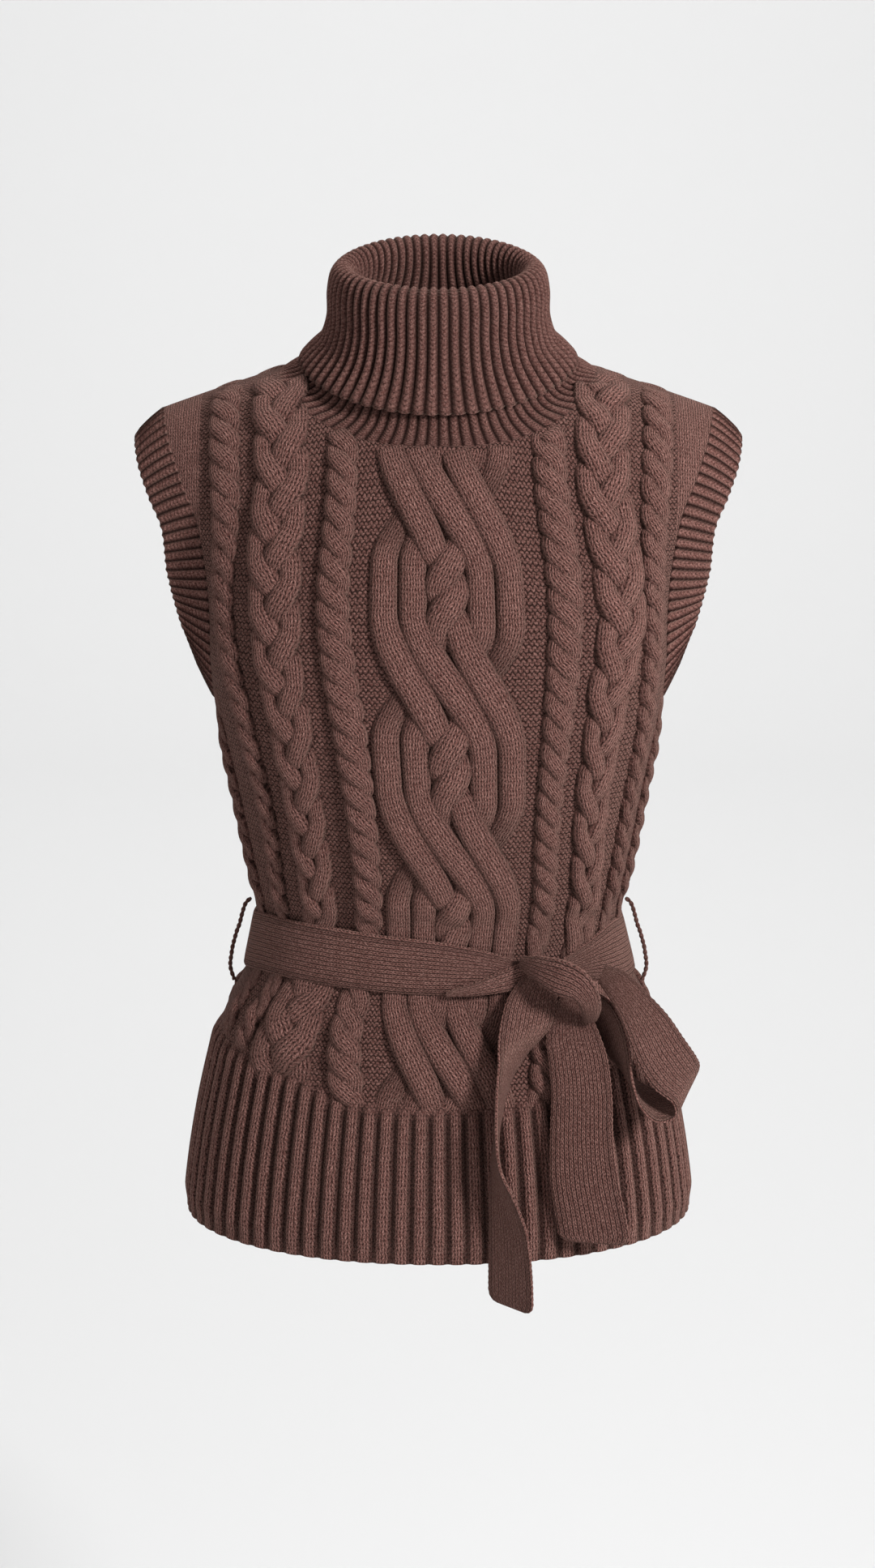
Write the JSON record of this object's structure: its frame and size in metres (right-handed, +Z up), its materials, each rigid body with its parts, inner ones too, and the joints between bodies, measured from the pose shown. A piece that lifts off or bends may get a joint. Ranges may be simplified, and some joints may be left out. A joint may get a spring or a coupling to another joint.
{
  "type": "high neck cable knit sleeveless sweater with tie belt",
  "caption": "Sleeveless cable-knit pullover with a folded high collar, ribbed armholes and hem, and a knit belt tied in a half bow, in its hollow worn shape.",
  "frame": {"origin": "middle of the shoulder line at the base of the neck, where a wearer's shoulders hold the garment", "axes": "+Z up along the wearer's body, -Y out of the front, +X to the right as seen from the front"},
  "size_m": [0.4304, 0.282, 0.7256],
  "materials": {
    "cable_knit": "matt heather wool blend, cabled knit",
    "rib_knit": "matt heather wool blend, ribbed knit",
    "belt_knit": "matt heather wool blend, fine plain knit",
    "yarn_cord": "matt twisted yarn"
  },
  "bodies": {
    "root": {"front_panel": "cable_knit", "back_panel": "cable_knit", "collar": "rib_knit", "armhole_band_left": "rib_knit", "armhole_band_right": "rib_knit", "belt_wrap": "belt_knit", "belt_knot": "belt_knit", "belt_bow_loop": "belt_knit", "belt_tail_left": "belt_knit", "belt_tail_right": "belt_knit", "belt_loop_left": "yarn_cord", "belt_loop_right": "yarn_cord"}
  },
  "joints": []
}
